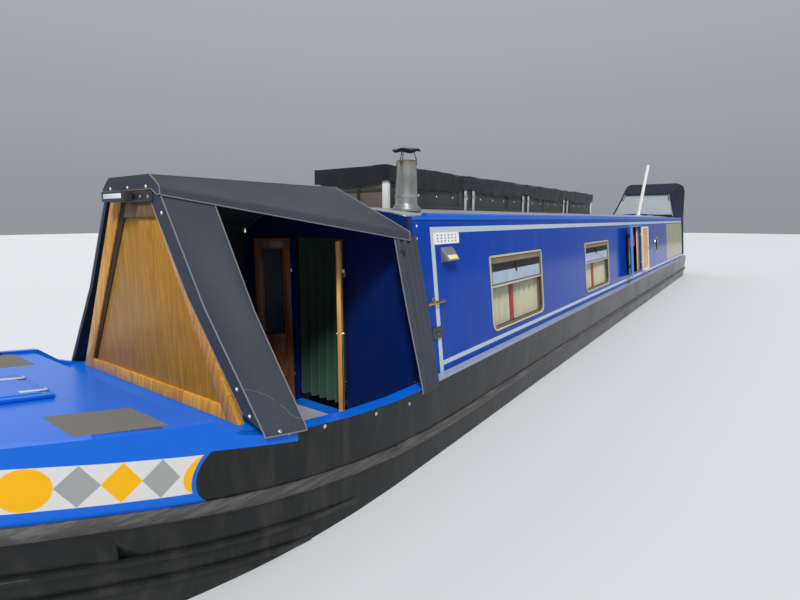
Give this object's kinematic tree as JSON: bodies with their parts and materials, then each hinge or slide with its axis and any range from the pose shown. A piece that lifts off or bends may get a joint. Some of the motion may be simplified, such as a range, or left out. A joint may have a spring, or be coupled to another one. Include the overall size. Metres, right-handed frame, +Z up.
{
  "type": "narrowboat",
  "caption": "Long slender steel canal boat with cabin, covered fore well, canvas stern hood, opening doors and hatches, rudder and propeller.",
  "frame": {"origin": "on the centreline at mid-length, on the underside of the flat base plate", "axes": "+X forward to the bow, +Y to port, +Z up"},
  "size_m": [18.5, 2.0995, 3.4969],
  "materials": {
    "royal_blue": "deep gloss coach paint",
    "bright_blue": "gloss deck paint",
    "hull_black": "bitumen black, slightly glossy",
    "strake_grey": "scuffed and dull",
    "deck_grey": "satin",
    "stainless": "brushed",
    "varnished_wood": "varnished",
    "dark_wood": "dark varnish",
    "canvas": "woven, matt",
    "window_bronze": "gold anodised",
    "brass": "polished, a little dull",
    "white": "gloss",
    "rope": "knotted rope",
    "engine_green": "painted casting",
    "floor_wood": "oiled boards"
  },
  "bodies": {
    "boat": {"cabin_side_port": "royal_blue", "cabin_side_starboard": "royal_blue", "cabin_roof": "royal_blue", "front_bulkhead": "royal_blue", "fore_deck": "bright_blue", "locker_bulkhead": "bright_blue", "hull_bulkhead": "bright_blue", "aft_deck": "bright_blue", "base_plate": "hull_black", "hull_side_port": "hull_black", "hull_side_starboard": "hull_black", "bow_side_port": "hull_black", "bow_side_starboard": "hull_black", "counter_side_port": "hull_black", "counter_side_starboard": "hull_black", "swim_port": "hull_black", "swim_starboard": "hull_black", "stem_post": "hull_black", "counter_plate": "hull_black", "stern_post": "hull_black", "rubbing_strake_port": "strake_grey", "rubbing_strake_starboard": "strake_grey", "bow_strake_port": "strake_grey", "bow_strake_starboard": "strake_grey", "well_deck": "deck_grey", "stern_deck": "deck_grey", "chimney": "stainless", "rear_bulkhead": "varnished_wood", "cratch_board": "varnished_wood", "top_plank": "varnished_wood", "roof_box": "canvas", "roof_box_cover": "canvas", "cratch_cover": "canvas", "cratch_curtain_port_fore": "canvas", "cratch_curtain_port_aft": "canvas", "cratch_curtain_starboard": "canvas", "stern_hood": "canvas", "window_fore_port": "window_bronze", "window_fore_starboard": "window_bronze", "window_aft_port": "window_bronze", "window_aft_starboard": "window_bronze", "porthole_port": "window_bronze", "porthole_starboard": "window_bronze", "mast": "white", "bow_fender": "rope", "stern_fender": "rope", "engine": "engine_green", "cabin_floor": "floor_wood"},
    "front_door_port": {"front_door_port": "dark_wood"},
    "front_door_starboard": {"front_door_starboard": "dark_wood"},
    "rear_door_port": {"rear_door_port": "varnished_wood"},
    "rear_door_starboard": {"rear_door_starboard": "varnished_wood"},
    "side_hatch_fore": {"side_hatch_fore": "royal_blue"},
    "side_hatch_aft": {"side_hatch_aft": "royal_blue"},
    "sliding_hatch": {"sliding_hatch": "royal_blue"},
    "locker_lid": {"locker_lid": "bright_blue"},
    "propeller": {"propeller": "brass"},
    "rudder": {"rudder": "hull_black", "swan_neck": "brass"}
  },
  "joints": [
    {"name": "front_door_port_hinge", "type": "hinge", "parent": "boat", "child": "front_door_port", "pos_m": [5.935, 0.28, 1.43], "axis": [0, 0, 1], "range_deg": [-130, 40]},
    {"name": "front_door_starboard_hinge", "type": "hinge", "parent": "boat", "child": "front_door_starboard", "pos_m": [5.935, -0.28, 1.43], "axis": [0, 0, -1], "range_deg": [-130, 40]},
    {"name": "rear_door_port_hinge", "type": "hinge", "parent": "boat", "child": "rear_door_port", "pos_m": [-6.81, 0.3, 1.6035], "axis": [0, 0, -1], "range_deg": [0, 170]},
    {"name": "rear_door_starboard_hinge", "type": "hinge", "parent": "boat", "child": "rear_door_starboard", "pos_m": [-6.81, -0.3, 1.6035], "axis": [0, 0, 1], "range_deg": [0, 170]},
    {"name": "side_hatch_fore_hinge", "type": "hinge", "parent": "boat", "child": "side_hatch_fore", "pos_m": [-0.86, 0.94995, 1.15101], "axis": [0, 0.1009, -0.9949], "range_deg": [-170, 0]},
    {"name": "side_hatch_aft_hinge", "type": "hinge", "parent": "boat", "child": "side_hatch_aft", "pos_m": [-1.76, 0.94995, 1.15101], "axis": [0, -0.1009, 0.9949], "range_deg": [-176, 0]},
    {"name": "sliding_hatch_slide", "type": "slide", "parent": "boat", "child": "sliding_hatch", "axis": [1, 0, 0], "range_m": [0, 0.6]},
    {"name": "locker_lid_hinge", "type": "hinge", "parent": "boat", "child": "locker_lid", "pos_m": [7.78, 0, 1.477], "axis": [0, -1, 0], "range_deg": [0, 100]},
    {"name": "propeller_shaft", "type": "hinge", "parent": "boat", "child": "propeller", "pos_m": [-8.165, 0, 0.3], "axis": [1, 0, 0], "continuous": true},
    {"name": "rudder_stock", "type": "hinge", "parent": "boat", "child": "rudder", "pos_m": [-8.55, 0, 0.3], "axis": [0, 0, 1], "range_deg": [-40, 40]}
  ]
}
